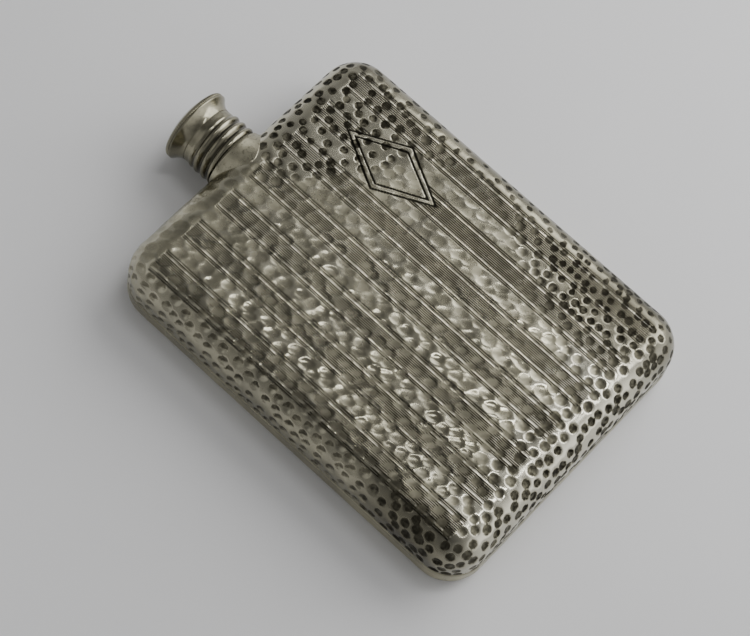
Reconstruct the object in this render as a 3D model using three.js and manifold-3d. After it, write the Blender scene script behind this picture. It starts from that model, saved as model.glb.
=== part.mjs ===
// A pocket hip flask lying on its back: two pressed nickel-silver half shells, a soldered
// neck with a screw thread, and a domed screw cap with a cork seal. Millimetres, +Z up.
// +X is across the flask's width, +Y points out of its neck, and its flat back is at Z = 0.

import * as THREE from 'three';
import { mergeVertices } from 'three/addons/utils/BufferGeometryUtils.js';
import Module from 'manifold-3d';

const wasm = await Module();
wasm.setup();

// ---- Driving dimensions -----------------------------------------------------------------

const bodyWidth = 96;
const bodyHeight = 125;
const bodyThickness = 21.5;
const cornerRadius = 11;
const sheet = 0.7; // the body's pressed metal
const gap = 0.3; // left between pieces that are soldered together or rest on each other

// The front rolls over in a wide quarter ellipse, the back in a tight quarter round.
const frontRoll = { inset: 8.5, depth: 10 };
const backRoll = { inset: 3.5, depth: 3.5 };

// The halves meet below the middle. The back one steps inward and laps inside the front one.
const seamHeight = 8;
const lap = { height: 2.5, thickness: 0.5, step: 1.2 };

// Along the neck's axis, every length is counted from the body's top edge.
const neckAxisHeight = 11.4;
const spout = { radius: 8, bore: 7.3, root: -4.5, lip: 11, lipRadius: 8.2, lipChamfer: 0.3 };
const collar = { footRadius: 9.9, foot: -7, topRadius: 9.2, top: 0.9 };

// One right-hand thread: the spout's bead runs in a groove that is rolled into the cap's
// skirt, and shows outside it as a ridge. The line crosses the top of the neck at `crossing`.
const thread = { pitch: 2.55, radius: 8.2, crossing: 1.9 };
const spoutBead = { radius: 0.55, start: 1.8, turns: 2.5 };
const capGroove = { radius: 0.8, start: -1.5, turns: 4.1 };
const capRidge = { radius: 1.25, start: 0.2, turns: 3.5 };

const cup = { mouth: 1.2, radius: 8.9, sheet: 0.5, top: 14.1 };
const mouthCurl = { radius: 9.4, height: 0.8 };
const cork = { radius: 7.9, bottom: 11.3, thickness: 2 };
const flange = { bottom: 10.9, footRadius: 9.65, rimRadius: 11.2, rim: 14, sheet: 0.45 };
const dome = { radius: 11.2, bottom: 14.75, springing: 15.7, apex: 18.3, sheet: 0.5 };

// ---- Facet counts -----------------------------------------------------------------------

const cornerSegments = 3;
const rollSegments = 6;
const turnSegments = 36;
const curveSegments = 6;
const threadSides = 8;
const threadStepsPerTurn = 20;

// ---- Solids and booleans ----------------------------------------------------------------

function toSolid(geometry) {
  geometry.deleteAttribute('normal');
  geometry.deleteAttribute('uv');
  const merged = mergeVertices(geometry);
  return new wasm.Manifold(new wasm.Mesh({
    numProp: 3,
    vertProperties: merged.attributes.position.array,
    triVerts: merged.index.array,
  }));
}

function toGeometry(solid) {
  const mesh = solid.getMesh();
  const geometry = new THREE.BufferGeometry();
  geometry.setAttribute('position', new THREE.BufferAttribute(mesh.vertProperties, 3));
  geometry.setIndex(new THREE.BufferAttribute(mesh.triVerts, 1));
  geometry.computeVertexNormals();
  return geometry;
}

// ---- The body, round the centre of its flat back ----------------------------------------

// The flask's outline seen from the front, drawn in by `inset` all round.
function bodyOutline(inset) {
  const x = bodyWidth / 2 - cornerRadius;
  const y = bodyHeight / 2 - cornerRadius;
  const radius = cornerRadius - inset;
  const shape = new THREE.Shape();
  shape.absarc(x, y, radius, 0, Math.PI / 2);
  shape.absarc(-x, y, radius, Math.PI / 2, Math.PI);
  shape.absarc(-x, -y, radius, Math.PI, Math.PI * 1.5);
  shape.absarc(x, -y, radius, Math.PI * 1.5, Math.PI * 2);
  return shape;
}

// A deep block of the body's outline with both ends rolled over, standing on z = 0.
function rolledBlock(inset, roll) {
  const block = new THREE.ExtrudeGeometry(bodyOutline(inset), {
    depth: bodyThickness,
    curveSegments: cornerSegments,
    bevelThickness: roll.depth - inset,
    bevelSize: roll.inset - inset,
    bevelOffset: inset - roll.inset,
    bevelSegments: rollSegments,
  });
  return block.translate(0, 0, roll.depth - inset);
}

// The body's outer faces drawn in by `inset`: the rolled end that the back half is cut from.
function backBlock(inset) {
  return toSolid(rolledBlock(inset, backRoll).translate(0, 0, inset));
}

// The same for the front half, whose rolled end is the upper one.
function frontBlock(inset) {
  const blockHeight = bodyThickness + 2 * (frontRoll.depth - inset);
  const top = bodyThickness - inset;
  return toSolid(rolledBlock(inset, frontRoll).translate(0, 0, top - blockHeight));
}

// A slab wider than the body, between two heights.
function slab(bottom, top) {
  const box = new THREE.BoxGeometry(2 * bodyWidth, 2 * bodyHeight, top - bottom);
  return toSolid(box.translate(0, 0, (bottom + top) / 2));
}

// A band that follows the outline, between two insets and two heights.
function outlineBand(outerInset, innerInset, bottom, top) {
  const shape = bodyOutline(outerInset);
  shape.holes.push(bodyOutline(innerInset));
  const band = new THREE.ExtrudeGeometry(shape, {
    depth: top - bottom,
    curveSegments: cornerSegments,
    bevelEnabled: false,
  });
  return toSolid(band.translate(0, 0, bottom));
}

// The hole that the spout passes through, half in each shell's top wall.
function neckHole() {
  const radius = spout.radius + gap;
  const hole = new THREE.CylinderGeometry(radius, radius, 2 * frontRoll.inset, turnSegments);
  return toSolid(hole.translate(0, bodyHeight / 2, neckAxisHeight));
}

function frontShell() {
  const half = frontBlock(0).intersect(slab(seamHeight, bodyThickness + sheet));
  return half.subtract(frontBlock(sheet)).subtract(neckHole());
}

function backShell() {
  const edge = seamHeight - gap;
  const stepFoot = edge - lap.step;
  const lapOuter = sheet + gap;
  const lapInner = lapOuter + lap.thickness;
  const tray = backBlock(0).intersect(slab(-sheet, edge)).subtract(backBlock(sheet));
  const step = outlineBand(sheet / 2, lapInner, stepFoot, edge);
  const tongue = outlineBand(lapOuter, lapInner, stepFoot, seamHeight + lap.height);
  return tray.add(step).add(tongue).subtract(neckHole());
}

// ---- The neck, round its axis, with y = 0 at the body's top edge ------------------------

// A profile of [radius, y] pairs turned round the neck's axis.
function turned(profile) {
  const points = profile.map(([radius, y]) => new THREE.Vector2(radius, y));
  return new THREE.LatheGeometry(points, turnSegments);
}

// A right-hand screw line round +Y: it climbs along +Y as it turns about +Y.
class ScrewLine extends THREE.Curve {
  constructor(start, turns) {
    super();
    this.start = start;
    this.turns = turns;
  }

  getPoint(t, target = new THREE.Vector3()) {
    const y = this.start + thread.pitch * this.turns * t;
    const angle = 2 * Math.PI * (y - thread.crossing) / thread.pitch;
    return target.set(thread.radius * Math.sin(angle), y, thread.radius * Math.cos(angle));
  }
}

// A round cord laid along the thread's screw line.
function threadCord({ radius, start, turns }) {
  const section = new THREE.Shape();
  section.absarc(0, 0, radius, 0, 2 * Math.PI);
  return toSolid(new THREE.ExtrudeGeometry(section, {
    curveSegments: threadSides / 2,
    steps: Math.round(turns * threadStepsPerTurn),
    extrudePath: new ScrewLine(start, turns),
  }));
}

function spoutTube() {
  const tube = turned([
    [spout.bore, spout.root],
    [spout.radius, spout.root],
    [spout.radius, spout.lip - 3 * spout.lipChamfer],
    [spout.lipRadius, spout.lip - 2 * spout.lipChamfer],
    [spout.lipRadius, spout.lip - spout.lipChamfer],
    [spout.radius, spout.lip],
    [spout.bore, spout.lip],
    [spout.bore, spout.root],
  ]);
  return toSolid(tube).add(threadCord(spoutBead));
}

// The collar is a short cone whose foot is cut to sit on the rolled edge of the front shell.
function neckCollar() {
  const bore = spout.radius + gap;
  const cone = turned([
    [bore, collar.foot],
    [collar.footRadius, collar.foot],
    [collar.topRadius, collar.top],
    [bore, collar.top],
    [bore, collar.foot],
  ]);
  const body = frontBlock(-gap).translate([0, -bodyHeight / 2, -neckAxisHeight]);
  return toSolid(cone).subtract(body);
}

// ---- The cap, in the same place as the neck ---------------------------------------------

// The threaded cup is drawn from one sheet, so its ridge outside is its groove inside.
function capCup() {
  const bore = cup.radius - cup.sheet;
  const ceiling = cup.top - cup.sheet;
  const shell = turned([
    [0, ceiling],
    [bore - cup.sheet, ceiling],
    [bore, ceiling - cup.sheet],
    [bore, cup.mouth],
    [mouthCurl.radius, cup.mouth],
    [mouthCurl.radius, cup.mouth + mouthCurl.height],
    [cup.radius, cup.mouth + 2 * mouthCurl.height],
    [cup.radius, ceiling],
    [bore, cup.top],
    [0, cup.top],
  ]);
  const reach = thread.radius + 2 * capRidge.radius;
  const outside = turned([
    [bore, cup.mouth],
    [reach, cup.mouth],
    [reach, flange.bottom],
    [bore, flange.bottom],
    [bore, cup.mouth],
  ]);
  const ridge = threadCord(capRidge).intersect(toSolid(outside));
  return toSolid(shell).add(ridge).subtract(threadCord(capGroove));
}

// Points of a quarter ellipse from `from` to `to`, leaving `from` along the neck's axis.
function quarterCove(from, to) {
  return Array.from({ length: curveSegments + 1 }, (_, i) => {
    const angle = (i / curveSegments) * Math.PI / 2;
    const radius = to[0] - (to[0] - from[0]) * Math.cos(angle);
    return [radius, from[1] + (to[1] - from[1]) * Math.sin(angle)];
  });
}

// A bell-mouthed ring that spreads from the cup's side to the rim.
function capFlange() {
  const { bottom, footRadius, rimRadius, rim } = flange;
  const under = quarterCove([footRadius, bottom], [rimRadius, rim]);
  const over = quarterCove([footRadius - flange.sheet, bottom], [rimRadius, rim + flange.sheet]);
  return turned([...under, ...over.reverse(), under[0]]);
}

// The dome is a shallow dish turned over, with an upright milled edge.
function capDome() {
  const inner = dome.radius - dome.sheet;
  const outside = quarterCove([dome.radius, dome.springing], [0, dome.apex]);
  const inside = quarterCove([inner, dome.springing], [0, dome.apex - dome.sheet]);
  return turned([...inside.reverse(), [inner, dome.bottom], [dome.radius, dome.bottom], ...outside]);
}

function corkSeal() {
  const disc = new THREE.CylinderGeometry(cork.radius, cork.radius, cork.thickness, turnSegments);
  return disc.translate(0, cork.bottom + cork.thickness / 2, 0);
}

// ---- Finishes ---------------------------------------------------------------------------

function metal(color, roughness) {
  return new THREE.MeshStandardMaterial({ color, roughness, metalness: 1 });
}

const hammered = metal(0x8f8a7c, 0.38);
const plain = metal(0x8a8679, 0.42);
const polished = metal(0xa39e8f, 0.3);
const corkFinish = new THREE.MeshStandardMaterial({ color: 0xb08a5a, roughness: 0.9, metalness: 0 });

// ---- Assembly ---------------------------------------------------------------------------

function piece(name, geometry, material) {
  const mesh = new THREE.Mesh(geometry, material);
  mesh.name = name;
  return mesh;
}

// The middle of the whole flask, cap included, stands over the origin.
const overallLength = bodyHeight + dome.apex;
const shoulderY = bodyHeight - overallLength / 2;

const body = new THREE.Group();
body.position.set(0, shoulderY - bodyHeight / 2, 0);
body.add(
  piece('front_shell', toGeometry(frontShell()), hammered),
  piece('back_shell', toGeometry(backShell()), plain),
);

const neck = new THREE.Group();
neck.position.set(0, shoulderY, neckAxisHeight);
neck.add(
  piece('neck_collar', toGeometry(neckCollar()), polished),
  piece('spout_tube', toGeometry(spoutTube()), polished),
);

const cap = new THREE.Group();
cap.add(
  piece('cap_cup', toGeometry(capCup()), polished),
  piece('cap_flange', capFlange(), polished),
  piece('cap_dome', capDome(), polished),
  piece('cork_seal', corkSeal(), corkFinish),
);
neck.add(cap);

const flask = new THREE.Group();
flask.add(body, neck);

export default flask;
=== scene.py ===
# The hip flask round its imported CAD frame: a hammered front with bands of engine-turned lines and
# an engraved lozenge, a plainer back, a soldered neck with a screw thread, and a screw cap with
# rolled thread rings. Lengths are millimetres, counted from the frame, until a mesh is made.

import math

import bpy
import numpy as np
from mathutils import Matrix, Vector, kdtree


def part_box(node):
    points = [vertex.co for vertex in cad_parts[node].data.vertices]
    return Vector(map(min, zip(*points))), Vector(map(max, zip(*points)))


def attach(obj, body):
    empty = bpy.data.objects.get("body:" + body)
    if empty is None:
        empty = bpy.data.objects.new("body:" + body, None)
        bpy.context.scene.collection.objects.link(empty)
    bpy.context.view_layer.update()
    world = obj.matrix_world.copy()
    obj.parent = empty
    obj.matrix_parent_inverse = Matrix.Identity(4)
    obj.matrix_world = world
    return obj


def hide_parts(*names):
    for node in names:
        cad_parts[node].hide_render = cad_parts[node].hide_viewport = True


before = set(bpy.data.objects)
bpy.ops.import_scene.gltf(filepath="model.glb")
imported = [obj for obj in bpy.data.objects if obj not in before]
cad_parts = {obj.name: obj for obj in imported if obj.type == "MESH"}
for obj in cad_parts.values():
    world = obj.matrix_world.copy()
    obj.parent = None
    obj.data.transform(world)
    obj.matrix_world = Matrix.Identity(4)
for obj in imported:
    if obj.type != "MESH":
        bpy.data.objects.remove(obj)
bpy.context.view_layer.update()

MM = 0.001
rng = np.random.default_rng(11)


def node_box(node):
    """The CAD node's lowest and highest corners, in millimetres."""
    low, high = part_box(node)
    return np.array(low) / MM, np.array(high) / MM


# ---- Sizes, from the frame ----

front_low, front_high = node_box("front_shell")
collar_high = node_box("neck_collar")[1]
spout_low, spout_high = node_box("spout_tube")
cup_low, cup_high = node_box("cap_cup")
flange_low = node_box("cap_flange")[0]
dome_low, dome_high = node_box("cap_dome")
cork_low, cork_high = node_box("cork_seal")

HALF_WIDTH = front_high[0]
HALF_HEIGHT = (front_high[1] - front_low[1]) / 2
CENTRE_Y = (front_high[1] + front_low[1]) / 2
SHOULDER_Y = front_high[1]
TOP_Z = front_high[2]
SEAM_Z = front_low[2]
CORNER = 11.0
CORE_X = HALF_WIDTH - CORNER
CORE_Y = HALF_HEIGHT - CORNER
NECK_Z = (dome_low[2] + dome_high[2]) / 2

FRONT_ROLL = {"inset": 8.5, "depth": 10.0}
BACK_ROLL = {"inset": 3.5, "depth": 3.5}
BACK_EDGE_Z = 7.7
BACK_INNER_Z = 3.0
HEM = 0.3
SHEET = 0.7
INNER_INSET = 1.0
LAP = {"outer": 1.2, "inner": 1.7, "height": 2.5}

# A shell's grid keeps straight columns this far out, and bends round the corners beyond. Its
# rings run down the roll and the wall.
GRID_X = CORE_X + 6.25
GRID_Y = CORE_Y + 4.0
FRONT_RINGS = 32
BACK_RINGS = 26
BACK_STEP = 0.7

# Blows are spread over a coarser grid of samples.
SAMPLE_STEP = 0.9
SAMPLE_RINGS = {"front": 14, "back": 12}

# Seven engine-turned bands run the length of the front.
BAND_PITCH = 12.75
BAND_MIDDLE = -1.0
BAND_CENTRES = [BAND_MIDDLE + BAND_PITCH * step for step in range(-3, 4)]
BAND_TOP = 54.0
BAND_BASE = -53.5
HATCH_HALF = 2.2
HATCH_LINES = 8
LINE_PITCH = 2 * HATCH_HALF / HATCH_LINES
LINE_DEPTH = 0.05
SCRIBED = 2.45
LAND_END = 2.7
STRIP_END = LAND_END + 2 * LINE_PITCH

# The empty lozenge lies over the sixth band.
LOZENGE = {"x": 24.85, "y": 28.2, "outer": (8.6, 16.3), "inner": (6.7, 13.4)}
LOZENGE_LINE = 0.5
LOZENGE_DEPTH = 0.2

# Blows on the face are drawn out along the grain, and all are spread out more along it.
GRAIN_ANGLE = math.radians(-63)
GRAIN_SQUEEZE = 0.84
BACK_SPACING = 4.2

# Each dark crescent of painted shade along the left border is a blow less the same blow moved by
# this.
SHADED_CRESCENT_SHIFT = (0.55, 0.25, 0.25)

# The neck and the cap are turned round one axis, and the spout and the skirt share a thread.
NECK_HOLE = 8.2
COLLAR = {"foot": 9.5, "top": 9.15, "bore": 8.3, "rounding": 0.3}
SPOUT = {"outer": 8.0, "bore": 7.3, "lip": 8.15, "rounding": 0.25}
SKIRT = 8.88
SKIRT_SHEET = 0.45
SKIRT_THREADED = 9.6
FLARE = {"foot": 8.92, "rim": 11.15}
DOME = 11.12
DOME_SHEET = 0.5
DOME_SPRINGING = SHOULDER_Y + 15.7
NOTCHES = 96
THREAD_PITCH = 2.55
THREAD_CROSSING = SHOULDER_Y + 1.9
THREAD_BEAD = 0.68
THREAD_RIDGE = 0.56


# ---- The shells' sections ----

def section(roll, flat_z, edge_z, up):
    """A shell's section outward from a corner's centre: reach, height, the normal's two parts and
    the length along it. The flat comes first, then the roll, the wall and the hem. `up` is 1 for
    the front and -1 for the back."""
    flat_reach = CORNER - roll["inset"]
    turn = np.linspace(0, math.pi / 2, 65)
    wall_z = flat_z - up * roll["depth"]
    reach = flat_reach + roll["inset"] * np.sin(turn)
    height = wall_z + up * roll["depth"] * np.cos(turn)
    slope_out = np.sin(turn) / roll["inset"]
    slope_up = up * np.cos(turn) / roll["depth"]
    size = np.hypot(slope_out, slope_up)
    hem_turn = np.linspace(0, math.pi / 2, 7)[1:]
    hem_z = edge_z + up * HEM
    parts = {
        "reach": [[0], reach, [CORNER], CORNER - HEM + HEM * np.cos(hem_turn)],
        "height": [[flat_z], height, [hem_z], hem_z - up * HEM * np.sin(hem_turn)],
        "out": [[0], slope_out / size, [1], np.cos(hem_turn)],
        "rise": [[up], slope_up / size, [0], -up * np.sin(hem_turn)],
    }
    table = {key: np.concatenate(value) for key, value in parts.items()}
    steps = np.hypot(np.diff(table["reach"]), np.diff(table["height"]))
    table["length"] = np.concatenate([[0], np.cumsum(steps)])
    table["rising"] = len(turn) + 1
    return table


def at_length(table, length):
    """Reach, height and normal parts of a section at these lengths along it."""
    keys = ("reach", "height", "out", "rise")
    return [np.interp(length, table["length"], table[key]) for key in keys]


def length_at(table, reach):
    """How far along the section a reach lies, on its flat or roll."""
    count = table["rising"]
    return np.interp(reach, table["reach"][:count], table["length"][:count])


def shell_grid(table, inner_x, inner_y, rings):
    """Points, normals, level directions outward and lengths to the edge of a half shell. Rows and
    columns are straight inside the inner rectangle. Outside it they follow the section down to
    the edge, and in the corners they bend round in rings."""
    def axis(inner):
        """Where the rows or columns start from, and which ring each is, 0 for the inner ones."""
        ring = np.arange(1, rings + 1)
        place = np.concatenate([np.full(rings, inner[0]), inner, np.full(rings, inner[-1])])
        order = np.concatenate([ring[::-1], np.zeros(len(inner), int), ring])
        return place, order

    place_x, order_x = axis(inner_x)
    place_y, order_y = axis(inner_y)
    x, y = np.meshgrid(place_x, place_y)
    ring_x, ring_y = np.meshgrid(order_x, order_y)
    sign_x, sign_y = np.where(x < 0, -1.0, 1.0), np.where(y < 0, -1.0, 1.0)
    out_x, out_y = np.maximum(np.abs(x) - CORE_X, 0), np.maximum(np.abs(y) - CORE_Y, 0)
    ring = np.maximum(ring_x, ring_y)
    start = length_at(table, np.hypot(out_x, out_y))
    end = table["length"][-1]
    length = start + (end - start) * ring / rings
    reach, height, out, rise = at_length(table, length)

    on_corner = (ring_x > 0) & (ring_y > 0)
    least, most = np.minimum(ring_x, ring_y), np.maximum(ring, 1)
    share = np.where(ring_x >= ring_y, least / most / 2, 1 - least / most / 2)
    safe = np.maximum(reach, 1e-6)
    first = np.arcsin(np.clip((GRID_Y - CORE_Y) / safe, 0, 1))
    last = np.arccos(np.clip((GRID_X - CORE_X) / safe, 0, 1))
    angle = first + (last - first) * share
    along_x = np.sqrt(np.maximum(reach**2 - out_y**2, 0))
    along_y = np.sqrt(np.maximum(reach**2 - out_x**2, 0))
    out_x = np.where(on_corner, reach * np.cos(angle), np.where(ring_x > 0, along_x, out_x))
    out_y = np.where(on_corner, reach * np.sin(angle), np.where(ring_y > 0, along_y, out_y))
    x = np.where((ring_x > 0) | (out_x > 0), sign_x * (CORE_X + out_x), x)
    y = np.where((ring_y > 0) | (out_y > 0), sign_y * (CORE_Y + out_y), y)
    spread = np.maximum(np.hypot(out_x, out_y), 1e-6)
    side = np.stack([sign_x * out_x / spread, sign_y * out_y / spread], axis=-1)
    points = np.stack([x, y + CENTRE_Y, height], axis=-1)
    normals = np.concatenate([side * out[..., None], rise[..., None]], axis=-1)
    return points, normals, side, end - length


def even_grid(table, step, rings):
    """A half shell's grid with its rows and columns about `step` apart."""
    inner_x, inner_y = (np.linspace(-reach, reach, int(2 * reach / step))
                        for reach in (GRID_X, GRID_Y))
    return shell_grid(table, inner_x, inner_y, rings)


# ---- Meshes ----

def add_mesh(name, points, faces):
    """An object from points in millimetres and lists of corner numbers."""
    mesh = bpy.data.meshes.new(name)
    mesh.from_pydata((np.asarray(points) * MM).tolist(), [], faces)
    mesh.validate()
    mesh.polygons.foreach_set("use_smooth", [True] * len(mesh.polygons))
    mesh.update()
    piece = bpy.data.objects.new(name, mesh)
    bpy.context.collection.objects.link(piece)
    return piece


def grid_faces(rows, columns, closed=False):
    """Quads of a grid of corners; a closed one joins its last column to its first."""
    row = np.arange(rows - 1)[:, None]
    column = np.arange(columns if closed else columns - 1)[None, :]
    after = (column + 1) % columns
    corners = [row * columns + column, row * columns + after]
    corners += [(row + 1) * columns + after, (row + 1) * columns + column]
    return np.stack(np.broadcast_arrays(*corners), axis=-1).reshape(-1, 4).tolist()


def border(rows, columns):
    """Corner numbers round a grid's edge, anticlockwise seen from above."""
    base = list(range(columns))
    right = [row * columns + columns - 1 for row in range(1, rows)]
    top = [(rows - 1) * columns + column for column in range(columns - 2, -1, -1)]
    left = [row * columns for row in range(rows - 2, 0, -1)]
    return np.array(base + right + top + left)


def shell_solid(name, points, side, inside, up):
    """A closed shell: the grid of its outer face, then inner rings that are each a reach and a
    height, and a flat inner face. `up` is 1 for the front and -1 for the back."""
    rows, columns = points.shape[:2]
    corners = points.reshape(-1, 3)
    edge = border(rows, columns)
    edge_side = side.reshape(-1, 2)[edge]
    edge_reach = CORNER - HEM
    faces = grid_faces(rows, columns)
    layers = [corners]
    last = edge
    count = len(corners)
    for reach, height in inside:
        ring = corners[edge]
        ring[:, :2] -= edge_side * (edge_reach - reach)
        ring[:, 2] = height
        layers.append(ring)
        fresh = np.arange(count, count + len(ring))
        count += len(ring)
        quads = np.stack([last, fresh, np.roll(fresh, -1), np.roll(last, -1)], axis=-1)
        faces += quads.tolist()
        last = fresh
    layers.append(np.array([[0.0, CENTRE_Y, inside[-1][1]]]))
    fan = np.stack([last, np.full(len(last), count), np.roll(last, -1)], axis=-1)
    faces += fan.tolist()
    if up < 0:
        faces = [face[::-1] for face in faces]
    return add_mesh(name, np.concatenate(layers), faces)


def turned(name, angles, profile, closed=True):
    """A surface round the neck's axis. Each step of the profile is a radius and a place along the
    axis, and either may be an array with one for each angle. The profile closes on itself, or
    its ends are capped with discs."""
    steps, count = len(profile), len(angles)
    radii = np.array([np.broadcast_to(radius, count) for radius, place in profile])
    places = np.array([np.broadcast_to(place, count) for radius, place in profile])
    x = radii * np.sin(angles)
    z = NECK_Z + radii * np.cos(angles)
    points = np.stack([x, places, z], axis=-1).reshape(-1, 3)
    faces = grid_faces(steps, count, closed=True)
    first = np.arange(count)
    last = first + (steps - 1) * count
    if closed:
        quads = [last, np.roll(last, -1), np.roll(first, -1), first]
        faces += np.stack(quads, axis=-1).tolist()
    else:
        faces += [first[::-1].tolist(), last.tolist()]
    return add_mesh(name, points, faces)


def cut_neck_hole(piece):
    """Cuts the round hole that the spout stands in through a shell's top wall."""
    angles = np.linspace(0, 2 * math.pi, 96, endpoint=False)
    profile = [(NECK_HOLE, SHOULDER_Y - 8.5), (NECK_HOLE, SHOULDER_Y + 4)]
    tool = turned("neck hole", angles, profile, closed=False)
    cut = piece.modifiers.new("neck hole", "BOOLEAN")
    cut.operation = "DIFFERENCE"
    cut.solver = "MANIFOLD"
    cut.object = tool
    graph = bpy.context.evaluated_depsgraph_get()
    mesh = bpy.data.meshes.new_from_object(piece.evaluated_get(graph), depsgraph=graph)
    piece.modifiers.clear()
    old = piece.data
    piece.data = mesh
    bpy.data.meshes.remove(old)
    bpy.data.objects.remove(tool)


# ---- Hammering ----

def tree_of(points):
    """A search tree over points."""
    tree = kdtree.KDTree(len(points))
    for index, point in enumerate(points):
        tree.insert(point, index)
    tree.balance()
    return tree


def hammer_centres(samples, spacing, rounds=6):
    """Blow centres spread over sample points of a surface, each about its sample's `spacing` from
    its neighbours: thrown like darts, then evened out."""
    tree = tree_of(samples)
    covered = np.zeros(len(samples), bool)
    centres = []
    for index in rng.permutation(len(samples)):
        if covered[index]:
            continue
        centres.append(samples[index])
        near = [found[1] for found in tree.find_range(samples[index], spacing[index] * 0.8)]
        covered[near] = True
    centres = np.array(centres)
    for _ in range(rounds):
        centre_tree = tree_of(centres)
        owner = np.array([centre_tree.find(point)[1] for point in samples])
        weight = np.maximum(np.bincount(owner, minlength=len(centres)), 1)
        sums = [np.bincount(owner, samples[:, axis], len(centres)) for axis in range(3)]
        middle = np.stack(sums, axis=-1) / weight[:, None]
        centres = np.array([samples[tree.find(point)[1]] for point in middle])
    return centres


def smooth_step(value, low, high):
    """0 below low, 1 above high, with an even slope between."""
    share = np.clip((value - low) / (high - low), 0, 1)
    return share * share * (3 - 2 * share)


def plateau(value, rise, fall):
    """1 between two slopes and 0 beyond them. Each slope is a pair of values."""
    return smooth_step(value, *rise) * (1 - smooth_step(value, *fall))


def squeeze_along(angle, share):
    """A matrix that shortens distances one way across the face and lengthens them the other."""
    along = np.array((math.cos(angle), math.sin(angle), 0))
    across = np.array((-math.sin(angle), math.cos(angle), 0))
    upright = np.array((0, 0, 1))
    parts = [share * np.outer(along, along), np.outer(across, across) / share]
    return parts[0] + parts[1] + np.outer(upright, upright)


class Hammering:
    """Blows all over a surface. spacing_of gives how far apart they are at a place, blow_of their
    width as a share of that, their depth and the power of their section's curve, and long_of
    how far each is drawn out along the grain."""

    def __init__(self, samples, spacing_of, blow_of, long_of=None):
        self.squeeze = squeeze_along(GRAIN_ANGLE, GRAIN_SQUEEZE if long_of else 1)
        squeezed = hammer_centres(samples @ self.squeeze, spacing_of(samples))
        self.centres = squeezed @ np.linalg.inv(self.squeeze)
        count = len(self.centres)
        self.drawn_out = long_of(self.centres) if long_of else np.zeros(count)
        width, depth, self.power = blow_of(self.centres)
        self.reach = width * spacing_of(self.centres) * rng.uniform(0.88, 1.12, count)
        self.depth = depth * rng.uniform(0.6, 1.3, count)
        self.tree = tree_of(self.centres)

    def depth_at(self, points):
        """How far each point is pushed in, below 0, and which share of its blow's depth that is.
        The deepest of the four nearest blows counts."""
        near = np.array([[found[1] for found in self.tree.find_n(p, 4)] for p in points])
        offsets = points[:, None, :] - self.centres[near]
        round_away = np.sqrt((offsets**2).sum(axis=-1))
        long_away = np.sqrt(((offsets @ self.squeeze) ** 2).sum(axis=-1))
        away = round_away + (long_away - round_away) * self.drawn_out[near]
        share = 1 - (away / self.reach[near]) ** self.power[near]
        depths = share * self.depth[near]
        best = depths.argmax(axis=1)
        row = np.arange(len(points))
        return -np.maximum(depths[row, best], 0), np.maximum(share[row, best], 0)


# ---- The front's pattern ----

def band_offset(x):
    """Distance from the nearest band's middle line."""
    step = np.clip(np.round((x - BAND_MIDDLE) / BAND_PITCH), -3, 3)
    return np.abs(x - BAND_MIDDLE - step * BAND_PITCH)


def lozenge_size(x, y, half):
    """1 on a lozenge's outline and smaller inside it."""
    return np.abs(x - LOZENGE["x"]) / half[0] + np.abs(y - LOZENGE["y"]) / half[1]


def lozenge_distance(x, y, half):
    """Distance from a lozenge's outline, square to its sides."""
    pull = math.hypot(1 / half[0], 1 / half[1])
    return np.abs(lozenge_size(x, y, half) - 1) / pull


def engraved_share(x, y, edge, slope):
    """1 on the lozenge's two lines, falling to 0 beside them: the less `edge`, the narrower."""
    share = np.zeros_like(x)
    for half in (LOZENGE["outer"], LOZENGE["inner"]):
        away = lozenge_distance(x, y, half)
        share = np.maximum(share, np.clip(edge - away / LOZENGE_LINE * slope, 0, 1))
    return share


def in_bands(x, y):
    """1 where engine-turned bands are cut, 0 outside them and inside the lozenge."""
    length = plateau(y, (BAND_BASE - 0.3, BAND_BASE + 0.3), (BAND_TOP - 0.3, BAND_TOP + 0.3))
    return length * (lozenge_size(x, y, LOZENGE["outer"]) > 1.03)


def cut_share(x):
    """1 on a band and 0 beside it, with soft sides."""
    return 1 - smooth_step(band_offset(x), STRIP_END - 0.5, STRIP_END + 0.5)


def hatched_share(x):
    """1 where engine-turned lines are cut across a band, 0 beside them."""
    offset = band_offset(x)
    return (offset < HATCH_HALF + 0.01) | side_strip(x)


def scribed_line(x):
    """1 on the bright line that is scribed along each side of a band's hatching; the material
    lightens it with dashes of painted glint.
    """
    return np.clip(1 - np.abs(band_offset(x) - SCRIBED) / (LAND_END - SCRIBED), 0, 1)


def side_strip(x):
    """1 on the narrow cut strips outside a band's scribed lines."""
    offset = band_offset(x)
    return (offset > LAND_END - 0.01) & (offset < STRIP_END + 0.01)


def hatch_line(x):
    """1 at the bottom of an engine-turned line, 0 on the metal left between two."""
    offset = band_offset(x)
    from_edge = np.where(offset < SCRIBED, HATCH_HALF - offset, offset - LAND_END)
    phase = np.mod(from_edge / LINE_PITCH, 1.0)
    return (1 - np.abs(2 * phase - 1)) * hatched_share(x)


def cutter_reach(dent):
    """How well the line cutter touched the metal: fully on the ridges, hardly in deep hollows."""
    return 1 - 0.8 * smooth_step(-dent, 0.12, 0.22)


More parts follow.
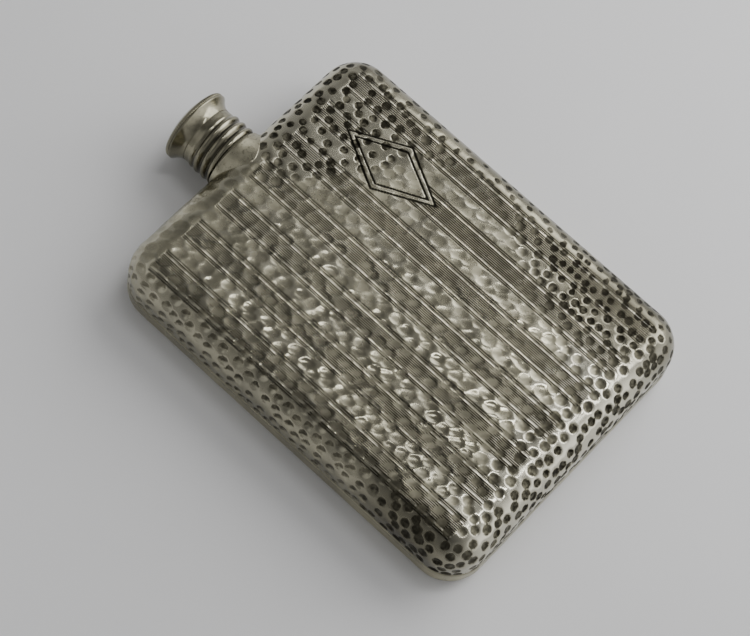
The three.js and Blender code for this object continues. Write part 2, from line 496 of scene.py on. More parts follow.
def front_columns():
    """Column places across the front: each engine-turned line has a column at its bottom. They
    are closer together where the lozenge is."""
    hatch = np.arange(-HATCH_LINES, HATCH_LINES + 1) * (LINE_PITCH / 2)
    strip = np.append(SCRIBED, LAND_END + np.arange(5) * (STRIP_END - LAND_END) / 4)
    band = np.concatenate([-strip[::-1], hatch, strip])
    plain = np.linspace(STRIP_END, BAND_PITCH - STRIP_END, 14)[1:-1]
    places = np.concatenate([centre + band for centre in BAND_CENTRES]
                            + [centre + plain for centre in BAND_CENTRES[:-1]])
    reach = LOZENGE["outer"][0] + 0.6
    fine = np.arange(LOZENGE["x"] - reach, LOZENGE["x"] + reach, 0.2)
    gap = np.array([np.abs(places - place).min() for place in fine])
    places = np.concatenate([places, fine[gap > 0.09]])
    places = places[np.abs(places) < GRID_X - 0.1]
    ends = [-GRID_X, GRID_X, 0.5 * (GRID_X + places.max())]
    return np.sort(np.concatenate([places, ends]))


def front_rows():
    """Row places up the front, closer together where the lozenge is."""
    coarse = np.linspace(-GRID_Y, GRID_Y, 248)
    reach = LOZENGE["outer"][1] + 0.6
    low, high = LOZENGE["y"] - reach, LOZENGE["y"] + reach
    fine = np.linspace(low, high, int((high - low) / 0.3))
    outside = coarse[(coarse < low - 0.1) | (coarse > high + 0.1)]
    return np.sort(np.concatenate([outside, fine]))


# Where the blows and the finish change. Places are measured from the middle of the face.

def across_and_up(points):
    """Places across and up the face, from its middle."""
    return points[..., 0], points[..., 1] - CENTRE_Y


def border_share(points):
    """0 on the flat face and 1 on the border where the blows stand apart."""
    x, y = across_and_up(points)
    right = smooth_step(x, 39, 42)
    base = smooth_step(-y, 42, 54)
    top = smooth_step(y + 0.75 * x, 43, 49) * smooth_step(x, -8, 4)
    corner = smooth_step(1.94 * x - y, 66, 80)
    left = 0.85 * smooth_step(-x, 40, 43)
    return np.maximum.reduce([right, base, top, corner, left])


def face_share(points):
    """1 on the flat face, where the blows meet, and 0 on the border."""
    return 1 - border_share(points)


def top_right_share(points):
    """1 at the top right corner, where small blows stand well apart, and 0 away from it."""
    x, y = across_and_up(points)
    through_lozenge = 14 * soft_blob(x, y, (LOZENGE["x"], LOZENGE["y"]), (9, 14))
    return smooth_step(x, 0, 12) * smooth_step(y + through_lozenge, 28, 40)


def low_right_share(points):
    """1 towards the bottom right corner, where small blows are close together, and 0 away."""
    x, y = across_and_up(points)
    return soft_blob(x, y, (39, -36), (14, 22))


def right_edge_share(points):
    """1 along the right border between its two corners, where small blows stand apart."""
    right = smooth_step(points[:, 0], 38, 42)
    return right * (1 - low_right_share(points)) * (1 - top_right_share(points))


def front_spacing(points):
    """How far apart the front's blows are."""
    wider = 0.1 * top_right_share(points) + 0.4 * right_edge_share(points)
    return 3.5 + wider - 0.75 * low_right_share(points)


def front_blow(points):
    """Width share, depth and power of the front's blows. On the face they are shallow cells that
    meet in ridges, deepest at the lower left; on the border they are rounder and deeper."""
    x, y = across_and_up(points)
    edge, top, low = border_share(points), top_right_share(points), low_right_share(points)
    right = right_edge_share(points)
    width = 0.57 - 0.12 * edge - 0.05 * top - 0.02 * low - 0.14 * right
    face_depth = 0.16 * np.clip(1 - (x + 0.6 * y) / 80, 0.5, 1.6)
    border_depth = 0.4 - 0.22 * top - 0.27 * low - 0.2 * right
    return width, face_depth + (border_depth - face_depth) * edge, 2.6 - 0.6 * edge


def back_spacing(points):
    """How far apart the back's blows are."""
    return np.full(len(points), BACK_SPACING)


def back_blow(points):
    """Width share, depth and power of the back's blows, which are alike all over."""
    even = np.ones(len(points))
    return 0.57 * even, 0.15 * even, 2.6 * even


def soft_blob(x, y, middle, size):
    """A soft round mask that is 1 in its middle."""
    return np.exp(-(((x - middle[0]) / size[0]) ** 2 + ((y - middle[1]) / size[1]) ** 2))


def tarnish_and_shade_share(points):
    """How dark the hollows are painted: tarnish most at the top right, the bottom right, the base
    and the right side, and tarnish with painted shade down the left side and in the left border's
    crescents.
    """
    x, y = across_and_up(points)
    blobs = [
        1.2 * soft_blob(x, y, (24, 50), (26, 28)),
        1.2 * soft_blob(x, y, (40, -38), (18, 28)),
        soft_blob(x, y, (46, 20), (8, 60)),
        0.95 * soft_blob(x, y, (0, -62), (70, 12)),
        0.75 * soft_blob(x, y, (-12, -49), (36, 9)),
        soft_blob(x, y, (-47, -42), (8, 26)),
        0.75 * soft_blob(x, y, (-46, 10), (6, 60)),
    ]
    return np.minimum(np.maximum.reduce(blobs), 1)


def rough_waves(x, y):
    """Shallow uneven crests, all inward, that run across the face and join blows in lines."""
    height = np.zeros_like(x)
    count = 14
    for _ in range(count):
        lean = math.radians(rng.uniform(12, 76))
        pace = 2 * math.pi / rng.uniform(3.0, 6.5)
        start = rng.uniform(0, 2 * math.pi)
        height += np.sin(pace * (x * math.cos(lean) + y * math.sin(lean)) + start)
    return np.minimum(0.02 * (height / math.sqrt(count / 2) - 1.6), 0)


def patina_and_shade_share(points):
    """How dull the metal between the hollows is painted: patina near the bottom right corner,
    painted shade that dims the reflections low on the left side, along that side and along the
    right border, and darker over the lower left of the face.
    """
    x, y = across_and_up(points)
    corner = soft_blob(x, y, (42, -43), (13, 22))
    side = 0.9 * soft_blob(x, y, (-48, -44), (9, 22))
    length = 0.4 * soft_blob(x, y, (-48, 0), (7, 80))
    face = 0.45 * soft_blob(x, y, (-27, -20), (28, 34))
    right = 0.62 * smooth_step(x, 39, 43)
    return np.maximum.reduce([corner, side, length, face, right])


def polish_share(points):
    """How bright the ridges are rubbed: a little on the face, much along the base and right."""
    x, y = across_and_up(points)
    base = smooth_step(-y, 30, 46)
    top = 0.55 * smooth_step(y, 22, 46) * smooth_step(x, -6, 10)
    plain = 0.35 * (1 - smooth_step(x, 38, 42))
    rubbed = np.maximum.reduce([plain, base, top])
    return rubbed * (1 - patina_and_shade_share(points)) * (1 - low_right_share(points))


def clear_of_collar(points):
    """0 beside the collar's foot and 1 away from it, so that the hammering dies out there."""
    x, y, z = np.moveaxis(points, -1, 0)
    beside = np.hypot(x, z - NECK_Z) - (COLLAR["foot"] + 0.3)
    below = SHOULDER_Y - 6.8 - y
    return smooth_step(np.maximum(beside, below), 0.0, 1.8)


def front_shell():
    """The hammered front, with its bands and lozenge cut as real lines."""
    table = section(FRONT_ROLL, TOP_Z, SEAM_Z, 1)
    samples = even_grid(table, SAMPLE_STEP, SAMPLE_RINGS["front"])[0].reshape(-1, 3)
    hammering = Hammering(samples, front_spacing, front_blow, face_share)
    columns, rows = front_columns(), front_rows()
    points, normals, side, to_edge = shell_grid(table, columns, rows, FRONT_RINGS)
    x, y = across_and_up(points)
    dent = hammering.depth_at(points.reshape(-1, 3))[0].reshape(x.shape)
    swell = rough_waves(x, y) * face_share(points)
    lines = (hatch_line(x) + scribed_line(x)) * in_bands(x, y) * LINE_DEPTH * cutter_reach(dent)
    engraving = engraved_share(x, y, 1, 1.6)
    dent *= 1 - 0.1 * cut_share(x) * in_bands(x, y)
    inward = dent + swell - lines * (normals[..., 2] > 0.4) - engraving * LOZENGE_DEPTH
    inward *= smooth_step(to_edge, 0.4, 1.6) * clear_of_collar(points)
    points = points + normals * inward[..., None]

    reach = CORNER - INNER_INSET
    inset, depth = FRONT_ROLL["inset"] - INNER_INSET, FRONT_ROLL["depth"] - INNER_INSET
    wall_z = TOP_Z - FRONT_ROLL["depth"]
    inside = [(CORNER - SHEET, SEAM_Z), (reach, SEAM_Z + HEM)]
    for angle in np.linspace(math.pi / 2, 0, 9):
        place = reach - inset + inset * math.sin(angle)
        inside.append((place, wall_z + depth * math.cos(angle)))
    piece = shell_solid("hammered_front", points, side, inside, 1)
    cut_neck_hole(piece)
    paint_front(piece, hammering)
    return piece


def mesh_points(mesh):
    """A mesh's corners in millimetres."""
    flat = np.zeros(len(mesh.vertices) * 3)
    mesh.vertices.foreach_get("co", flat)
    return flat.reshape(-1, 3) / MM


def set_attribute(mesh, name, values):
    """Stores one number per corner for the materials."""
    layer = mesh.attributes.new(name, "FLOAT", "POINT")
    layer.data.foreach_set("value", np.asarray(values, np.float32))


def paint_front(piece, hammering):
    """Tells the material where hollows, lines, tarnish and painted shade are. Along the left border
    only one side of each hollow is dark, as a crescent of painted shade."""
    mesh = piece.data
    points = mesh_points(mesh)
    x, y = across_and_up(points)
    dent, share = hammering.depth_at(points)
    beside = hammering.depth_at(points + SHADED_CRESCENT_SHIFT)[1]
    # Painted shade: along the left border each hollow keeps only the crescent on one side of it,
    # the side that would lie in shade.
    painted_shade_crescent = 1.2 * np.clip(share - beside, 0, 1)
    crescent_shade_border = smooth_step(-x, 39, 42) * smooth_step(y, -38, -26)
    share = share + (painted_shade_crescent - share) * crescent_shade_border
    lined = in_bands(x, y) * (points[:, 2] > TOP_Z - 3.5)
    touched = lined * cutter_reach(dent)
    darker = 0.9 + 0.3 * smooth_step(x - y, -60, 60) + 0.25 * soft_blob(x, y, (28, 0), (14, 22))
    darker *= 1 - 0.4 * low_right_share(points)
    marks = {
        "hollow": share,
        "spots": border_share(points),
        "tarnish_and_shade": tarnish_and_shade_share(points),
        "patina_and_shade": patina_and_shade_share(points),
        "polish": polish_share(points),
        "hatched": hatched_share(x) * darker * lined,
        "line": hatch_line(x) * touched,
        "land": scribed_line(x) * touched,
        "engraved": engraved_share(x, y, 3.4, 4) * (points[:, 2] > TOP_Z - 2),
    }
    for name, values in marks.items():
        set_attribute(mesh, name, values)


def back_shell():
    """The back: plain hammering, a rolled edge, and the lip that laps inside the front."""
    table = section(BACK_ROLL, 0, BACK_EDGE_Z, -1)
    samples = even_grid(table, SAMPLE_STEP, SAMPLE_RINGS["back"])[0].reshape(-1, 3)
    hammering = Hammering(samples, back_spacing, back_blow)
    points, normals, side = even_grid(table, BACK_STEP, BACK_RINGS)[:3]
    dent = hammering.depth_at(points.reshape(-1, 3))[0].reshape(points.shape[:2])
    flatness = smooth_step(np.abs(normals[..., 2]), 0.3, 0.9)
    points = points + normals * (dent * 0.8 * flatness)[..., None]

    lap_reach, lip_reach = CORNER - LAP["outer"], CORNER - LAP["inner"]
    lip_z = BACK_EDGE_Z + LAP["height"]
    inside = [(lap_reach, BACK_EDGE_Z - 0.1), (lap_reach, lip_z - 0.1)]
    inside += [(lap_reach - 0.1, lip_z), (lip_reach, lip_z), (lip_reach, BACK_INNER_Z + 0.2)]
    inner = BACK_ROLL["inset"] - LAP["inner"]
    for angle in np.linspace(math.pi / 2, 0, 6)[1:]:
        down = inner * math.cos(angle)
        inside.append((lip_reach - inner + inner * math.sin(angle), BACK_INNER_Z - down))
    piece = shell_solid("plain_back", points, side, inside, -1)
    cut_neck_hole(piece)
    corners = mesh_points(piece.data)
    # The wall is painted darker, partly as painted shade where it stands in the floor's shadow and
    # partly as darker metal.
    wall = smooth_step(corners[:, 2], 4, 8)
    hollow = hammering.depth_at(corners)[1] * (corners[:, 2] < 3)
    set_attribute(piece.data, "hollow", np.maximum(hollow, wall))
    return piece


# ---- The neck and its thread ----

ANGLES = np.linspace(0, 2 * math.pi, 180, endpoint=False)


def thread_offset(places, angles):
    """Distance along the axis from the nearest turn of the thread line."""
    turns = (places - THREAD_CROSSING) / THREAD_PITCH - angles / (2 * math.pi)
    return np.abs(np.mod(turns + 0.5, 1.0) - 0.5) * THREAD_PITCH


def shoulder_inset(height):
    """How far in from the top edge the body's outer face lies at a height."""
    front = np.clip((height - (TOP_Z - FRONT_ROLL["depth"])) / FRONT_ROLL["depth"], 0, 0.995)
    back = np.clip((BACK_ROLL["depth"] - height) / BACK_ROLL["depth"], 0, 0.995)
    from_front = FRONT_ROLL["inset"] * (1 - np.sqrt(1 - front**2))
    from_back = BACK_ROLL["inset"] * (1 - np.sqrt(1 - back**2))
    return np.maximum(from_front, from_back)


def neck_collar():
    """The soldered collar: its foot flares out into the shoulder all the way round."""
    foot, top, bore, soft = (COLLAR[key] for key in ("foot", "top", "bore", "rounding"))
    end = collar_high[1]
    flare = 0.3 + 0.5 * np.sin(ANGLES) ** 2
    edge_radius = foot + flare
    edge = SHOULDER_Y - shoulder_inset(NECK_Z + edge_radius * np.cos(ANGLES)) - 0.15
    cone = SHOULDER_Y - 0.1 + flare
    profile = []
    for share in np.linspace(0, 1, 15):
        profile.append((foot + flare * (1 - share) ** 2.2, edge + (cone - edge) * share))
    for share in np.linspace(0, 1, 7)[1:]:
        profile.append((foot + (top - foot) * share, cone + (end - soft - cone) * share))
    for turn in np.linspace(0, math.pi / 2, 5)[1:]:
        radius = top - soft * (1 - math.cos(turn))
        profile.append((radius, end - soft + soft * math.sin(turn)))
    profile += [(bore, end), (bore, edge + 0.2), (edge_radius - 0.6, edge - 0.1)]
    return turned("soldered_collar", ANGLES, profile)


def spout_tube():
    """The spout: a plain tube with a rounded lip and the thread's bead standing on it."""
    outer, bore, lip, soft = (SPOUT[key] for key in ("outer", "bore", "lip", "rounding"))
    low, high = spout_low[1], spout_high[1]
    profile = []
    for place in np.linspace(low, high - soft, 130):
        bead = THREAD_BEAD * smooth_step(0.75 - thread_offset(place, ANGLES), 0, 0.75)
        bead *= plateau(place - SHOULDER_Y, (1.4, 2.4), (7.6, 8.6))
        widening = (lip - outer) * smooth_step(place, high - 1.4, high - 0.9)
        profile.append((outer + bead + widening, place))
    middle, half = (lip + bore) / 2, (lip - bore) / 2
    for turn in np.linspace(0, math.pi, 9)[1:]:
        profile.append((middle + half * math.cos(turn), high - soft + soft * math.sin(turn)))
    profile.append((bore, low))
    return turned("spout_thread", ANGLES, profile)


# ---- The cap ----

def cap_cup():
    """The cap's skirt, with the thread rolled into it: rounded rings outside, a groove inside."""
    low, high = cup_low[1], cup_high[1]
    wall = []
    for place in np.linspace(low, low + SKIRT_THREADED, 92):
        turns = thread_offset(place, ANGLES) / THREAD_PITCH
        ridge = THREAD_RIDGE * (0.5 + 0.5 * np.cos(2 * math.pi * turns)) ** 0.8
        wall.append((ridge * plateau(place - SHOULDER_Y, (0.2, 0.9), (7.9, 9.6)), place))
    inner = SKIRT - SKIRT_SHEET
    top = high - 0.5
    lid = (6.0, 3.0, 0.4)
    profile = [(SKIRT + ridge, place) for ridge, place in wall]
    profile += [(SKIRT, top - 1), (SKIRT, top), (SKIRT - 0.15, top + 0.35), (SKIRT - 0.5, high)]
    profile += [(radius, high) for radius in lid]
    profile += [(radius, high - SKIRT_SHEET) for radius in (*lid[::-1], inner)]
    profile += [(inner + ridge, place) for ridge, place in wall[::-1]]
    piece = turned("cap_skirt", ANGLES, profile)
    points = mesh_points(piece.data)
    reach = np.hypot(points[:, 0], points[:, 2] - NECK_Z)
    ringed = 1 - smooth_step(points[:, 1] - SHOULDER_Y, 7.4, 8.6)
    valley = 1 - smooth_step(reach, SKIRT + 0.1, SKIRT + 0.5)
    set_attribute(piece.data, "hollow", valley * ringed)
    return piece


def rounded(outline, round_steps, share):
    """A closed outline of (radius, place) points with its corners cut into short curves."""
    corners = np.array(outline)
    neighbours = np.roll(corners, 1, axis=0), np.roll(corners, -1, axis=0)
    rounds = []
    for before, here, after in zip(neighbours[0], corners, neighbours[1]):
        start = here + (before - here) * share
        end = here + (after - here) * share
        for step in np.linspace(0, 1, round_steps):
            rounds.append((1 - step) ** 2 * start + 2 * step * (1 - step) * here + step**2 * end)
    return np.array(rounds)


def cap_flange():
    """The cove that flares out from the skirt to the rim."""
    foot, rim = FLARE["foot"], FLARE["rim"]
    low, high = flange_low[1], dome_low[1] - 0.02
    profile = []
    for share in np.linspace(0, 1, 16):
        profile.append((foot + (rim - foot) * share ** 1.8, low + (high - 0.35 - low) * share))
    profile += [(rim, high - 0.2), (rim - 0.12, high - 0.04), (rim - 0.3, high)]
    profile += [(9.3, high), (8.95, high - 0.4), (foot - 0.02, low + 0.1)]
    return turned("cap_flare", ANGLES, profile)


def cap_dome():
    """The cap's domed top over a milled edge."""
    low, apex = dome_low[1], dome_high[1]
    angles = np.linspace(0, 2 * math.pi, NOTCHES * 6, endpoint=False)
    notch = 0.5 - 0.5 * np.cos(angles * NOTCHES)
    rise = apex - DOME_SPRINGING
    ball = (DOME**2 + rise**2) / (2 * rise)

    def dome_place(reach):
        """How far along the axis the dome's outside lies at a reach from it."""
        return apex - ball + math.sqrt(ball**2 - reach**2)

    profile = [(DOME - 0.3, low), (DOME - 0.05 - 0.1 * notch, low + 0.12)]
    for place in np.linspace(low + 0.22, DOME_SPRINGING - 0.3, 5):
        profile.append((DOME - 0.16 * notch, place))
    pole = 0.002
    for share in np.linspace(0.985, pole, 26):
        notched = 0.1 * smooth_step(share, 0.93, 0.985) * notch
        profile.append((DOME * share - notched, dome_place(DOME * share)))
    for share in np.linspace(pole, 0.93, 8):
        profile.append((DOME * share, dome_place(DOME * share) - DOME_SHEET))
    return turned("cap_top", angles, profile)


def cork_seal():
    """The cork disc that closes the spout, with a pressed edge and a rough side."""
    low, high, radius = cork_low[1], cork_high[1], cork_high[0]
    outline = [(0.05, low), (radius, low), (radius, high), (0.05, high)]
    fine = rounded(outline, 5, 0.12)
    wobble = rng.normal(0, 0.02, (len(fine), len(ANGLES)))
    radii = np.maximum(fine[:, :1] - np.abs(wobble) * (fine[:, :1] > 1), 0.02)
    return turned("cork_disc", ANGLES, list(zip(radii, fine[:, 1])))


# ---- Materials ----

class Nodes:
    """Short calls for building a material's nodes."""

    def __init__(self, name):
        self.material = bpy.data.materials.new(name)
        self.material.use_nodes = True
        self.tree = self.material.node_tree
        self.shader = self.tree.nodes["Principled BSDF"]
        self.place = self.tree.nodes.new("ShaderNodeTexCoord").outputs["Object"]

    def link(self, source, target):
        """Joins an output socket to an input socket."""
        self.tree.links.new(source, target)

    def attribute(self, name):
        """The number stored at each corner under this name."""
        node = self.tree.nodes.new("ShaderNodeAttribute")
        node.attribute_name = name
        return node.outputs["Fac"]

    def noise(self, size, detail, stretch=None):
        """Noise whose features are about `size` millimetres."""
        node = self.tree.nodes.new("ShaderNodeTexNoise")
        node.inputs["Scale"].default_value = 1 / (size * MM)
        node.inputs["Detail"].default_value = detail
        place = self.place
        if stretch:
            mapping = self.tree.nodes.new("ShaderNodeMapping")
            mapping.inputs["Scale"].default_value = stretch
            self.link(place, mapping.inputs["Vector"])
            place = mapping.outputs["Vector"]
        self.link(place, node.inputs["Vector"])
        return node.outputs["Fac"]

    def ramp(self, value, low, high, start=0.0, end=1.0):
        """Maps value from low..high to start..end, clamped."""
        node = self.tree.nodes.new("ShaderNodeMapRange")
        node.interpolation_type = "SMOOTHSTEP"
        node.inputs["From Min"].default_value = low
        node.inputs["From Max"].default_value = high
        node.inputs["To Min"].default_value = start
        node.inputs["To Max"].default_value = end
        self.link(value, node.inputs["Value"])
        return node.outputs["Result"]

    def math(self, operation, first, second):
        """Two values put together by one of the math node's operations."""
        node = self.tree.nodes.new("ShaderNodeMath")
        node.operation = operation
        for socket, value in zip(node.inputs, (first, second)):
            if isinstance(value, (int, float)):
                socket.default_value = value
            else:
                self.link(value, socket)
        return node.outputs["Value"]

    def times(self, first, second):
        """Two values multiplied."""
        return self.math("MULTIPLY", first, second)

    def plus(self, first, second):
        """Two values added."""
        return self.math("ADD", first, second)

    def blend(self, share, first, second):
        """The number `first` where share is 0 and `second` where it is 1."""
        node = self.tree.nodes.new("ShaderNodeMix")
        self.link(share, node.inputs["Factor"])
        self.link(first, node.inputs["A"])
        self.link(second, node.inputs["B"])
        return node.outputs["Result"]

    def mix(self, share, first, second):
        """Blends two colours, each a socket or three numbers."""
        node = self.tree.nodes.new("ShaderNodeMix")
        node.data_type = "RGBA"
        self.link(share, node.inputs["Factor"])
        for name, value in (("A", first), ("B", second)):
            socket = next(s for s in node.inputs if s.name == name and s.type == "RGBA")
            if isinstance(value, tuple):
                socket.default_value = (*value, 1)
            else:
                self.link(value, socket)
        return next(s for s in node.outputs if s.type == "RGBA")

    def bump(self, height, strength, distance, after=None):
        """A normal tilted by a height that stands for `distance` millimetres, on top of `after`."""
        node = self.tree.nodes.new("ShaderNodeBump")
        node.inputs["Strength"].default_value = strength
        node.inputs["Distance"].default_value = distance * MM
        self.link(height, node.inputs["Height"])
        if after:
            self.link(after, node.inputs["Normal"])
        return node.outputs["Normal"]


BRIGHT_METAL = (0.52, 0.49, 0.36)
WORN_METAL = (0.37, 0.35, 0.262)
POLISHED_METAL = (0.66, 0.635, 0.52)
# The scribed lines' colour: bright cut metal, lightened further as a painted glint.
SCRIBED_METAL_AND_GLINT = (0.80, 0.77, 0.68)
# The dark tarnish colour also paints shade: the left border's crescents, the left side, the right
# border and the back's wall.
TARNISH_AND_SHADE = (0.02, 0.018, 0.0125)
ENGRAVED_METAL = (0.015, 0.0135, 0.01)


def metal_surface(nodes, colour, roughness, grooves=None, dull=None):
    """The finish that every metal piece shares: cloudy roughness, pits and hairline scratches."""
    nodes.shader.inputs["Metallic"].default_value = 1.0
    nodes.link(colour, nodes.shader.inputs["Base Color"])
    cloud = nodes.noise(5.0, 4.0)
    low, high = roughness
    finish = nodes.ramp(cloud, 0.35, 0.68, low, high)
    if dull:
        finish = nodes.plus(finish, dull)
    nodes.link(finish, nodes.shader.inputs["Roughness"])
    pits = nodes.noise(0.35, 4.0)
    scratches = nodes.noise(0.5, 2.0, stretch=(1.0, 0.06, 1.0))
    normal = nodes.bump(pits, 0.06, 0.02)
    normal = nodes.bump(scratches, 0.2, 0.02, after=normal)
    if grooves:
        normal = nodes.bump(grooves, 1.0, -LINE_DEPTH, after=normal)
    nodes.link(normal, nodes.shader.inputs["Normal"])
    return nodes.material


def clouded_metal(nodes, size, low, high):
    """The metal's own colour: bright, with worn clouds about `size` millimetres across."""
    cloud = nodes.noise(size, 5.0)
    return nodes.mix(nodes.ramp(cloud, low, high), BRIGHT_METAL, WORN_METAL)


def hammered_metal():
    """Worn nickel silver whose hollows, cut lines and corners have tarnished, with painted shade in
    the left border's crescents, down the left side and along the right border, and dashes of
    painted glint on the scribed lines.
    """
    nodes = Nodes("hammered nickel silver")
    fine = nodes.noise(1.3, 4.0)
    ragged = nodes.ramp(nodes.noise(1.0, 3.0), 0.3, 0.7, 0.6, 1.5)
    hollow = nodes.times(nodes.attribute("hollow"), ragged)

    ridge = nodes.times(nodes.ramp(hollow, 0.0, 0.4, 1.0, 0.0), nodes.attribute("polish"))
    polished = nodes.mix(ridge, clouded_metal(nodes, 9.0, 0.38, 0.62), POLISHED_METAL)
    # The film is patina between the hollows, and painted shade down the left side and along the
    # right border.
    film = nodes.mix(nodes.times(nodes.attribute("patina_and_shade"), 0.8), polished, TARNISH_AND_SHADE)

    crisp = nodes.ramp(hollow, 0.05, 0.42)
    soft = nodes.times(nodes.ramp(hollow, 0.1, 1.0), 0.45)
    deep = nodes.blend(nodes.attribute("spots"), soft, crisp)
    # This darkening is tarnish in the hollows, and painted shade down the left side and in the left
    # border's crescents.
    grime_and_shade = nodes.times(deep, nodes.ramp(fine, 0.3, 0.6, 0.7, 1.0))
    dirt_and_shade = nodes.times(grime_and_shade, nodes.ramp(nodes.attribute("tarnish_and_shade"), 0.0, 0.9, 0.25, 1.0))
    toned = nodes.mix(dirt_and_shade, film, TARNISH_AND_SHADE)

    shade = nodes.times(nodes.attribute("hatched"), 0.5)
    cut = nodes.times(nodes.ramp(nodes.attribute("line"), 0.2, 0.7), 0.45)
    lined = nodes.mix(nodes.plus(shade, cut), toned, TARNISH_AND_SHADE)
    bright = nodes.ramp(nodes.attribute("land"), 0.3, 0.9)
    # Broken dashes of brighter metal along the scribed lines: partly bright cut metal, partly
    # painted glint.
    shine_and_glint = nodes.times(bright, nodes.ramp(fine, 0.42, 0.66, 0.0, 0.5))
    scribed = nodes.mix(shine_and_glint, lined, SCRIBED_METAL_AND_GLINT)
    engraved = nodes.mix(nodes.attribute("engraved"), scribed, ENGRAVED_METAL)

    grooves = nodes.plus(nodes.attribute("line"), nodes.attribute("land"))
    dull = nodes.plus(nodes.times(nodes.attribute("hatched"), 0.07), nodes.times(dirt_and_shade, 0.4))
    dull = nodes.plus(dull, nodes.times(nodes.attribute("engraved"), 0.4))
    return metal_surface(nodes, engraved, (0.15, 0.27), grooves, dull)


def plain_metal(name, roughness, grime_size, film):
    """Smooth nickel silver with specks of tarnish, and a film of it all over."""
    nodes = Nodes(name)
    specks = nodes.ramp(nodes.noise(0.8, 3.0), 0.55, 0.72, film, 0.5)
    spotted = nodes.mix(specks, clouded_metal(nodes, grime_size, 0.35, 0.65), TARNISH_AND_SHADE)
    valleys = nodes.times(nodes.attribute("hollow"), 0.8)
    return metal_surface(nodes, nodes.mix(valleys, spotted, TARNISH_AND_SHADE), roughness)


def back_metal():
    """The back's metal: hollows a little darker than the metal round them, and the wall darker,
    partly as painted shade and partly as darker metal.
    """
    nodes = Nodes("back nickel silver")
    hollow = nodes.times(nodes.ramp(nodes.attribute("hollow"), 0.3, 1.0), 0.3)
    base = clouded_metal(nodes, 12.0, 0.35, 0.65)
    return metal_surface(nodes, nodes.mix(hollow, base, TARNISH_AND_SHADE), (0.26, 0.44))


def cork_material():
    """Pressed cork: warm tan with dark pores."""
    nodes = Nodes("cork")
    grain = nodes.noise(1.4, 5.0)
    pores = nodes.noise(0.6, 3.0)
    tan = nodes.mix(nodes.ramp(grain, 0.35, 0.65), (0.40, 0.25, 0.13), (0.22, 0.12, 0.055))
    spotted = nodes.mix(nodes.ramp(pores, 0.56, 0.68), tan, (0.07, 0.035, 0.018))
    nodes.link(spotted, nodes.shader.inputs["Base Color"])
    nodes.shader.inputs["Roughness"].default_value = 0.85
    nodes.link(nodes.bump(pores, 0.6, 0.2), nodes.shader.inputs["Normal"])
    return nodes.material


def floor_material():
    """Smooth pale grey board."""
    nodes = Nodes("pale board")
    cloud = nodes.noise(120.0, 3.0)
    nodes.link(nodes.mix(nodes.ramp(cloud, 0.3, 0.7), (0.77, 0.77, 0.775), (0.80, 0.80, 0.805)),
               nodes.shader.inputs["Base Color"])
    nodes.shader.inputs["Roughness"].default_value = 0.7
    return nodes.material


# ---- Camera, light and floor ----

def look(azimuth, elevation, roll, distance, target):
    """A camera matrix for looking at target, given as a point in metres."""
    turn, tilt, lean = (math.radians(value) for value in (azimuth, elevation, roll))
    back = Vector((math.sin(turn) * math.cos(tilt), -math.cos(turn) * math.cos(tilt),
                   math.sin(tilt)))
    level = Vector((math.cos(turn), math.sin(turn), 0))
    upright = back.cross(level)
    right = math.cos(lean) * level + math.sin(lean) * upright
    up = math.cos(lean) * upright - math.sin(lean) * level
    matrix = Matrix((right, up, back)).transposed().to_4x4()
    matrix.translation = target + back * distance
    return matrix


def add_camera():
    """A long lens that looks down on the flask from the left, leaning over."""
    camera = bpy.data.cameras.new("camera")
    camera.sensor_width = 36
    camera.lens = 124.8
    camera.clip_start = 0.01
    camera.clip_end = 20
    holder = bpy.data.objects.new("camera", camera)
    target = Vector((-2.69, CENTRE_Y + 5.93, 0)) * MM
    place = look(azimuth=-61.83, elevation=66.66, roll=15.58, distance=0.7115, target=target)
    holder.matrix_world = place
    bpy.context.collection.objects.link(holder)
    bpy.context.scene.camera = holder


def add_area(name, place, size, power, long_axis):
    """A soft light of two sizes that faces the flask, its longer side along long_axis."""
    light = bpy.data.lights.new(name, "AREA")
    light.shape = "RECTANGLE"
    light.size, light.size_y = size
    light.energy = power
    holder = bpy.data.objects.new(name, light)
    back = Vector(place).normalized()
    across = (Vector(long_axis) - back * back.dot(Vector(long_axis))).normalized()
    matrix = Matrix((across, back.cross(across), back)).transposed().to_4x4()
    matrix.translation = place
    holder.matrix_world = matrix
    bpy.context.collection.objects.link(holder)


def add_surroundings():
    """A pale floor and soft light from the upper right."""
    half = 3.0
    corners = [(-half, -half, 0), (half, -half, 0), (half, half, 0), (-half, half, 0)]
    floor = add_mesh("floor", np.array(corners) / MM, [[0, 1, 2, 3]])
    floor.data.materials.append(floor_material())
    add_room_light()
    add_area("window", (0.43, -0.11, 0.33), (0.56, 0.48), 2.7, (0.29, 0.96, 0))
    add_area("fill", (-0.50, 0.60, 0.75), (0.8, 0.8), 0.65, (0.77, 0.64, 0))
    add_area("lamp", (0.28, -0.10, 1.17), (0.45, 0.09), 1.5, (0.69, -0.72, 0))


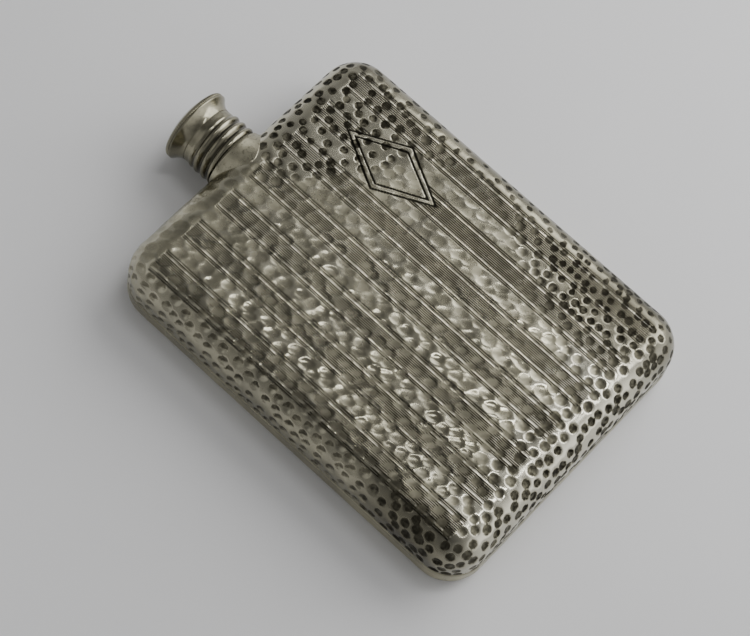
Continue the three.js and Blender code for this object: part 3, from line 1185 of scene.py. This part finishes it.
def add_room_light():
    """Soft light from all round, bright low down on the right and dim on the left."""
    world = bpy.data.worlds.new("soft room")
    bpy.context.scene.world = world
    world.use_nodes = True
    tree = world.node_tree
    direction = tree.nodes.new("ShaderNodeTexCoord").outputs["Generated"]

    def level_by(toward, stops):
        """Brightness by how closely a direction agrees with `toward`."""
        dot = tree.nodes.new("ShaderNodeVectorMath")
        dot.operation = "DOT_PRODUCT"
        dot.inputs[1].default_value = Vector(toward).normalized()
        tree.links.new(direction, dot.inputs[0])
        ramp = tree.nodes.new("ShaderNodeValToRGB")
        tree.links.new(dot.outputs["Value"], ramp.inputs["Fac"])
        while len(ramp.color_ramp.elements) < len(stops):
            ramp.color_ramp.elements.new(0.5)
        for element, (place, level) in zip(ramp.color_ramp.elements, stops):
            element.position = place
            element.color = (level, level, level, 1)
        return ramp.outputs["Color"]

    height = level_by((0, 0, 1), [(0.0, 0.62), (0.45, 0.48), (0.8, 0.24), (1.0, 0.26)])
    side = level_by((0.72, -0.62, 0.30), [(0.0, 0.66), (0.42, 1.0), (0.70, 1.6), (0.88, 2.8)])
    product = tree.nodes.new("ShaderNodeVectorMath")
    product.operation = "MULTIPLY"
    tree.links.new(height, product.inputs[0])
    tree.links.new(side, product.inputs[1])
    background = tree.nodes["Background"]
    tree.links.new(product.outputs["Vector"], background.inputs["Color"])
    background.inputs["Strength"].default_value = 1.0


# ---- The whole flask ----

def dress(piece, node, body, material):
    """Puts a new piece in the place of a CAD node."""
    piece.data.materials.clear()
    piece.data.materials.append(material)
    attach(piece, body)
    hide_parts(node)


add_camera()
add_surroundings()
body_metal = plain_metal("neck nickel silver", (0.22, 0.38), 7.0, 0.1)
cap_metal = plain_metal("cap nickel silver", (0.15, 0.27), 4.0, 0.4)
dress(front_shell(), "front_shell", "flask", hammered_metal())
dress(back_shell(), "back_shell", "flask", back_metal())
dress(neck_collar(), "neck_collar", "flask", body_metal)
dress(spout_tube(), "spout_tube", "flask", body_metal)
dress(cap_cup(), "cap_cup", "cap", cap_metal)
dress(cap_flange(), "cap_flange", "cap", cap_metal)
dress(cap_dome(), "cap_dome", "cap", cap_metal)
dress(cork_seal(), "cork_seal", "seal", cork_material())
